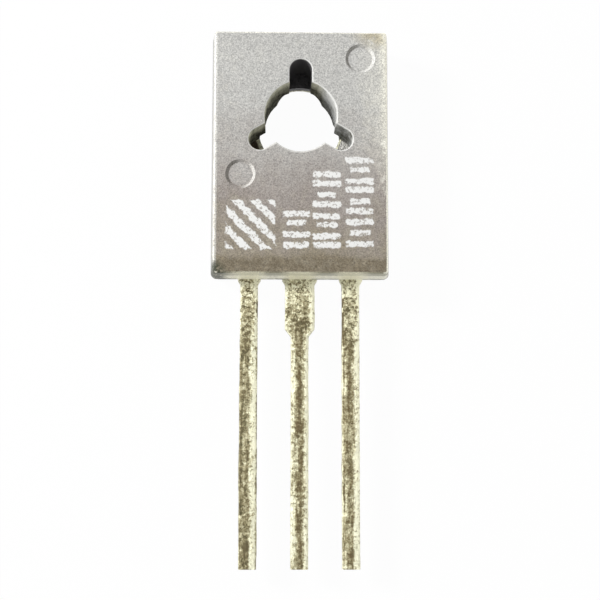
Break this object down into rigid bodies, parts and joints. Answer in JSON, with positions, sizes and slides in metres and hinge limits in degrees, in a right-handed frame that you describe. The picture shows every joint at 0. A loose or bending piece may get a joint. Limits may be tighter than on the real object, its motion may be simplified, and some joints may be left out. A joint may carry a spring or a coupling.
{
  "type": "power transistor",
  "caption": "Flat plastic power transistor lying on its back, with a notched screw hole through the body, an exposed metal back plate and straight flat leads with a shouldered middle one.",
  "frame": {"origin": "axis of the screw hole at the back face of the body", "axes": "+Z out of the front face, +Y along the body away from the leads, leads along -Y"},
  "size_m": [0.0076, 0.023, 0.0026],
  "materials": {
    "epoxy": "fine matte grain on the outer faces, grey with a brown cast",
    "tinned_frame": "tinned copper alloy, tarnished and mottled",
    "tinned_leads": "tinned copper alloy, tarnished and mottled",
    "silicon": "polished silicon, opaque",
    "solder": "soft solder, dull",
    "bond_wire": "drawn aluminium wire"
  },
  "bodies": {
    "root": {"moulded_body": "epoxy", "collector_frame": "tinned_frame", "emitter_lead": "tinned_leads", "base_lead": "tinned_leads", "chip": "silicon", "chip_solder": "solder", "emitter_wire": "bond_wire", "base_wire": "bond_wire"}
  },
  "joints": []
}
